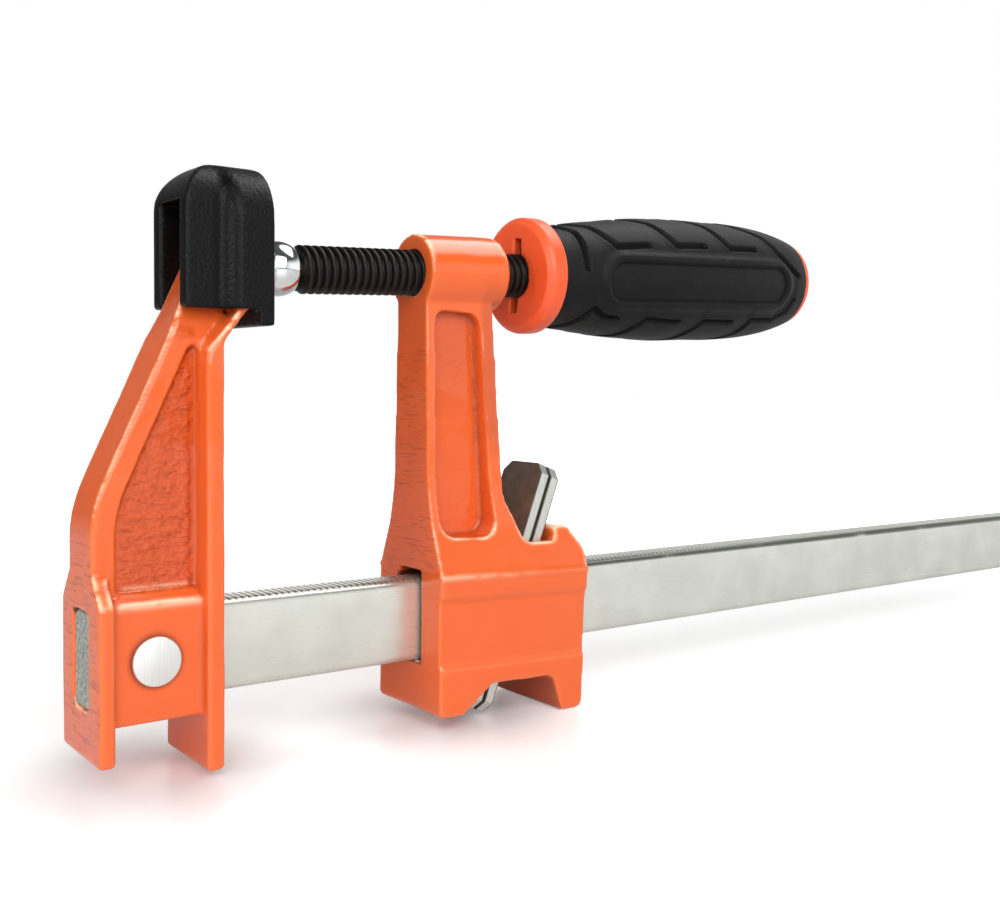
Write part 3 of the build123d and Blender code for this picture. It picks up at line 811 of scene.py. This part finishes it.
bar_start, bar_end, bar_top = bar_low[0], bar_high[0], bar_high[2]
corner_radius, chamfer, plain_end, end_skin = 2.0, 0.4, 2, 0.1
pitch, tooth_depth, teeth_reach, teeth_fade = 1.6, 0.16, 0.4, 0.35
notch = ((0.0, 0.0), (0.45, 0.0), (0.65, tooth_depth), (0.8, tooth_depth))
stations = [(bar_start, 0.0), (bar_start + chamfer, 0.0)]
for number in range(int((bar_end - bar_start - 2 * plain_end) / pitch)):
    first = bar_start + plain_end + number * pitch
    stations += [(first + share * pitch, depth) for share, depth in notch]
stations += [(bar_end - chamfer, 0.0), (bar_end, 0.0)]
station_x, depths = np.array(stations).T[:, :, None]
section = rounded_box_loop(bar_half_width, bar_low[2], bar_top, corner_radius, steps=6)
share_of_top = beyond(section[:, 1], bar_top - teeth_reach, teeth_fade)
rings = np.zeros((len(stations), len(section), 3))
rings[:, :, 0] = station_x
rings[:, :, 1:] = section[None]
rings[:, :, 2] -= depths * share_of_top
middle_of_bar = (bar_low[2] + bar_top) / 2
end_width, end_height = 0.87, 0.95
for end in (0, -1):
    rings[end, :, 1] *= end_width
    rings[end, :, 2] = middle_of_bar + (rings[end, :, 2] - middle_of_bar) * end_height
bar_mesh = ring_skin("bar_skin", rings)
ring_x, ring_z = rings[:, :, 0], rings[:, :, 2]
# The upper corner of the bar is marked for a painted dark reflection, stronger beyond the sliding head.
reflection_band_z, reflection_from_x, reflection_fade_over = (bar_top - 1.9, bar_top - 0.05), 60, 30
reflection_corner_band = between(ring_z, reflection_band_z, 0.3) * np.clip((ring_x - reflection_from_x) / reflection_fade_over, 0.3, 1)
store(bar_mesh, "tooth", (depths / tooth_depth * share_of_top).ravel())
at_end = (ring_x < bar_start + end_skin) | (ring_x > bar_end - end_skin)
store(bar_mesh, "cut", at_end.ravel())
store(bar_mesh, "corner", reflection_corner_band.ravel())
hang("toothed_bar", bar_mesh, [zinc_plate], "bar_and_fixed_head", "bar_steel", "bar")
flatten_caps(bar_mesh)

# %% [markdown]
# ## The screw
# The thread is a rounded trapezoid, two millimetres to the turn. A helix could be swept along a
# curve, and that gives a seam where it starts. Here every point of every ring asks how far it is
# through its own turn, and takes its radius from that, which also lets the thread fade out at the nose.

# %% Screw
def thread_height(turn):
    """How high the thread stands, 0 at the root and 1 at the crest, for a share of a turn."""
    crest_share, flank_share, roundness = 0.32, 0.4, 1.3
    from_crest = np.abs((turn + 0.5) % 1.0 - 0.5) * 2
    return 1 - beyond(from_crest, crest_share, flank_share) ** roundness


def turned_grid(along, around):
    """Every place along a line against every angle round it, as two arrays (ring, point)."""
    return np.meshgrid(along, np.arange(around) * 2 * pi / around, indexing="ij")


crest_radius, root_depth, thread_pitch = 5.5, 1.0, 2.0
nose, tail, nose_chamfer, screw_step, screw_around = -34.3, 33.0, 0.8, 0.2, 64
grid_u, grid_a = turned_grid(np.arange(nose, tail, screw_step), screw_around)
height = thread_height(grid_u / thread_pitch - grid_a / (2 * pi))
fade = beyond(grid_u, nose, nose_chamfer)
radius = crest_radius - root_depth * (1 - height) * fade - nose_chamfer * (1 - fade)
rings = np.stack([grid_u, radius * np.cos(grid_a), radius * np.sin(grid_a)], axis=-1)
screw_mesh = ring_skin("screw_skin", placed(rings, handle_line))
rubbed_gain, rubbed_loss = 1.6, 0.7
store(screw_mesh, "crest", (height * fade).ravel() * rubbed_gain - rubbed_loss)
hang("threaded_screw", screw_mesh, [black_oxide], "screw_and_handle", "black_oxide", "screw")
flatten_caps(screw_mesh)

# %% [markdown]
# ## The screw's wings
# Two flat wings, pressed out of the screw's end, sit in the slot of the handle and turn with it. They
# show only as a dark shape deep in the slot, so one flat bar through the screw does for both.

# %% Wings
wing_middle, wing_length, wing_width, wing_span = 32.3, 3.8, 2.6, 18.5
in_metres = Matrix.Scale(mm, 4)
wings_size = Matrix.Diagonal((wing_length, wing_width, wing_span, 1))
wings_place = in_metres @ handle_line @ Matrix.Translation((wing_middle, 0, 0)) @ wings_size
wings_mesh = bpy.data.meshes.new("wings")
work = bmesh.new()
bmesh.ops.create_cube(work, size=1.0, matrix=wings_place)
work.to_mesh(wings_mesh)
work.free()
hang("screw_wings", wings_mesh, [black_oxide], "screw_and_handle", "black_oxide", "screw")
for face in wings_mesh.polygons:
    face.use_smooth = False

# %% [markdown]
# ## The swivel
# The swivel is turned from bar and chromed: a disc that presses on the work, and a dome closed over
# the ball. A Screw modifier would spin its profile too, but the rings are already here. The dome's curve
# is drawn with many more steps than the solid has, because chrome shows every flat.

# %% Swivel
def spun(name, profile, matrix, around=96):
    """A skin spun round the line from (along, radius) points."""
    along, radius = np.array(profile).T
    grid_u, grid_a = turned_grid(along, around)
    across, up = radius[:, None] * np.cos(grid_a), radius[:, None] * np.sin(grid_a)
    return ring_skin(name, placed(np.stack([grid_u, across, up], axis=-1), matrix))


def arc(centre, radius, start, stop, steps):
    """Points on a circle round (centre, 0), from one angle to another in degrees."""
    turns = [radians(start + (stop - start) * s / steps) for s in range(steps + 1)]
    return [(centre + radius * cos(a), radius * sin(a)) for a in turns]


pressing_disc = [(-43.8, 0.05), (-43.8, 6.2), (-43.65, 6.5), (-43.4, 6.6), (-42.3, 6.6), (-42.05, 6.4)]
dome = arc(centre=-38.9, radius=6.1, start=118, stop=57, steps=30)
rolled_lip = [(-35.45, 4.85), (-35.42, 4.6), (-35.42, 3.3)]
ball_seat = [(-36.4, 3.0), (-38.6, 3.66), (-40.5, 0.05)]
swivel_mesh = spun("swivel_skin", pressing_disc + dome + rolled_lip + ball_seat, screw_line)
hang("chromed_swivel", swivel_mesh, [chrome], "swivel", "chrome_swivel", "swivel")

# %% [markdown]
# ## The handle's hard core
# The flange in front and the small dome behind are one orange moulding, with the rubber over it. It
# could be melted whole, but only its two ends show, so the middle is cut away first and the skin stays
# light.

# %% Handle core
def line_point(u):
    """A place on the handle's line, from mm along it, in metres."""
    return handle_line @ Vector((u, 0, 0)) * mm


forward = handle_line.to_3x3().col[0].normalized()
flange_behind, dome_ahead, core_voxel = 38.0, 125.0, 0.35
flange_skin = melted("handle_core", core_voxel, 4, [(line_point(flange_behind), forward)])
hang("slotted_flange", flange_skin, [orange_plastic], "screw_and_handle", "orange_plastic", "handle_core")
dome_skin = melted("handle_core", core_voxel, 3, [(line_point(dome_ahead), -forward)])
hang("end_dome", dome_skin, [orange_plastic], "screw_and_handle", "orange_plastic", "handle_core")

# %% [markdown]
# ## The rubber grip
# The grip swells to a belly and narrows to both ends. A subdivided tube could be pulled to that form,
# but the grooves that follow need a formula for its radius. So its skin is rings again, whose radius
# falls with a low power to the front, which is slim, and with a high one to the back, which is full.

# %% Grip outline
grip_start, grip_stop = 34.05, 128.95
belly_at, belly_flat, belly_radius = (grip_start + grip_stop) / 2, 5.0, 17.0
front_fall, back_fall = 4.3, 4.0
rubber_around, rubber_step = ((400, 0.35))


def grip_radius(u):
    """The grip's outside radius along the handle, in mm."""
    to_end = (grip_stop - grip_start) / 2 - belly_flat
    past_belly = np.clip((np.abs(u - belly_at) - belly_flat) / to_end, 0, None)
    front = belly_radius - front_fall * past_belly**1.5
    back = belly_radius - back_fall * past_belly**3.2
    return np.where(u < belly_at, front, back)


along = np.append(np.arange(grip_start, grip_stop, rubber_step), grip_stop)
grid_u, grid_a = turned_grid(along, rubber_around)
side_y, side_z = np.cos(grid_a), np.sin(grid_a)
side_angle = np.degrees(np.arctan2(side_z, np.abs(side_y)))
belly = grip_radius(grid_u)
print("grip radius from", round(belly.min(), 2), "to", round(belly.max(), 2), "mm")

# %% [markdown]
# ## The grooves
# Grooves run in from the top and bottom of the grip and bend to follow the handle. They could be cut by
# boolean shapes, which leaves ragged edges on a swelling form. Here they are drawn as polylines on the
# unrolled surface, along the handle in mm and round it in degrees from the side, and each point of the
# skin sinks by its distance to the nearest line. The ground behind each line sinks a little too, so
# that the rubber lies in steps like scales.

# %% Grooves
def bent_groove(bend, length, side):
    """From the middle of the top or bottom back along to a bend, then straight on."""
    curve = [(-16.5, 94), (-9.5, 82), (-5.2, 69), (-2.9, 53), (0, 38), (length, 38.5)]
    return [(bend + along, angle * side) for along, angle in curve]


grooves = [bent_groove(bend, 10.6, 1) for bend in (52.3, 72.7, 93.5)]
grooves += [bent_groove(bend, 11.5, -1) for bend in (63.9, 85.3)]
grooves += [
    [(31.0, 95), (37.5, 82), (41.2, 64), (41.5, 45), (41.5, 14.5)],
    [(97.0, 92), (104.7, 70), (110.5, 57.5), (115.3, 36.5), (119.3, 23.5), (123.5, 13.0)],
    [(31.0, -92), (37.1, -77.5), (42.9, -46.0), (45.3, -30.5), (49.5, -39.5), (53.9, -40.5)],
    [(90.0, -92), (98.5, -72.5), (103.2, -58), (104.9, -36.5), (114.7, -39), (120.3, -29.5), (122.3, -16)],
]


def distance_to(path, u, angle, radius):
    """How far each point is from a polyline on the unrolled surface, and how far ahead of it."""
    least = np.full(u.shape, np.inf)
    ahead_by = np.zeros(u.shape)
    for (u0, a0), (u1, a1) in zip(path[:-1], path[1:]):
        du, da = u1 - u0, radians(a1 - a0) * radius
        pu, pa = u - u0, np.radians(angle - a0) * radius
        share = np.clip((pu * du + pa * da) / (du * du + da * da), 0, 1)
        gap = np.hypot(pu - share * du, pa - share * da)
        ahead_by = np.where(gap < least, pu - share * du, ahead_by)
        least = np.minimum(least, gap)
    return least, ahead_by


groove_half_width, groove_wall, step_reach = 0.65, 0.35, 4.0
to_groove = np.full(grid_u.shape, np.inf)
lowered = np.zeros(grid_u.shape)
for path in grooves:
    gap, ahead_by = distance_to(path, grid_u, side_angle, belly)
    lowered = np.maximum(lowered, np.exp(-gap / step_reach) * beyond(-ahead_by, 0, 2.5))
    to_groove = np.minimum(to_groove, gap)
groove = 1 - beyond(to_groove, groove_half_width, groove_wall)
groove = groove * groove * (3 - 2 * groove)
print("grooves on each side:", len(grooves))

# %% [markdown]
# ## The panel and the rubber's skin
# A long plain panel with round ends lies on each side, sunk inside a soft rim. One distance, from the
# panel's outline, gives the floor, the crease at its foot, the rim and the valley round the rim. All
# depths are then taken off the radius at once, which no stack of modifiers would do as plainly.

# %% Grip
def end_round(from_end, reach):
    """How much the radius shrinks near an end, in mm."""
    return np.clip(reach - from_end, 0, reach) ** 2 / 2


panel_start, panel_stop, panel_half_height, panel_turn = 54.2, 112.2, 5.5, 1.5
across_panel = np.radians(side_angle - panel_turn) * belly
past_panel = grid_u - np.clip(grid_u, panel_start, panel_stop)
to_panel = np.hypot(past_panel, across_panel) - panel_half_height
panel = np.clip(0.5 - to_panel / 0.5, 0, 1)
crease = line_at(-0.25, to_panel, 0.4)
rim = line_at(1.3, to_panel, 1.1)
valley = line_at(3.6, to_panel, 1.2)
flattened = line_at(0, to_panel, 8)
groove_depth, step_depth, panel_depth = 1.2, 0.5, 0.8
rim_height, valley_depth, side_depth = 0.4, 0.15, 0.35
front_rounding, back_rounding, plain_front = 1.2, 1.0, 4
stepped = lowered * beyond(grid_u, grip_start, plain_front)
radius = belly - (groove_depth * groove + step_depth * stepped) * (1 - panel) - panel_depth * panel
radius += rim_height * rim - valley_depth * valley - side_depth * flattened
radius -= end_round(grid_u - grip_start, front_rounding) + end_round(grip_stop - grid_u, back_rounding)
rings = np.stack([grid_u, -radius * side_y, radius * side_z], axis=-1)
grip_mesh = ring_skin("grip_skin", placed(rings, handle_line))
grip_mesh.flip_normals()
# The groove mark, grooves and the crease at the panel's foot, is painted shade in the finish.
store(grip_mesh, "groove", np.maximum(groove, crease).ravel())
hang("ribbed_grip", grip_mesh, [grip_rubber], "screw_and_handle", "grip_rubber", "handle_grip")
flatten_caps(grip_mesh)

# %% [markdown]
# ## Plates, rivet, pin, spring and ball
# These small pieces are right as solids. The plates and the rivet get a narrow bevel so that their
# edges glint. A Bevel modifier would do, but in the mesh the flat triangles can be joined first, which
# keeps the bevel even. The plates wear two finishes: brown hardened faces, and edges that were ground
# bright. The pin, the ball and the spring keep their solids and get a finish of their own.

# %% Bevelled pieces
def bevelled(node, width):
    """A copy of a CAD node with its sharp edges bevelled by this many mm."""
    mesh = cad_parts[node].data.copy()
    work = bmesh.new()
    work.from_mesh(mesh)
    bmesh.ops.remove_doubles(work, verts=work.verts, dist=1e-6)
    bmesh.ops.dissolve_limit(work, angle_limit=radians(2), verts=work.verts, edges=work.edges)
    sharp = [e for e in work.edges if len(e.link_faces) == 2 and e.calc_face_angle(0) > radians(35)]
    bmesh.ops.bevel(
        work, geom=sharp, offset=width * mm, segments=2, profile=0.6, affect="EDGES", clamp_overlap=True
    )
    bmesh.ops.triangulate(work, faces=[f for f in work.faces if len(f.verts) > 4])
    work.to_mesh(mesh)
    work.free()
    return mesh


plate_lean = radians(18.3)
plate_normal = (carriage @ Matrix.Rotation(plate_lean, 4, "Y")).to_3x3().col[0]
for number in (1, 2):
    node = f"clutch_plate_{number}"
    plate_mesh = bevelled(node, width=0.2)
    depth = points_of(plate_mesh) @ np.array(plate_normal)
    store(plate_mesh, "across", (depth - depth.min()) / (depth.max() - depth.min()))
    hang(f"biting_plate_{number}", plate_mesh, [plate_face, plate_edge], node, "spring_steel", node)
    for face in plate_mesh.polygons:
        face.material_index = 0 if abs(face.normal.dot(plate_normal)) > 0.9 else 1
        face.use_smooth = False

rivet_mesh = bevelled("bar_rivet", width=0.35)
hang("peened_rivet", rivet_mesh, [bright_steel], "bar_and_fixed_head", "zinc_plate", "bar_rivet")

kept_solids = {"bar_stop_pin": bright_steel, "screw_ball_end": chrome, "clutch_spring": bright_steel}
for node, finish in kept_solids.items():
    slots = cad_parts[node].data.materials
    slots.clear()
    slots.append(finish)
print("solids that keep their shape:", list(kept_solids))
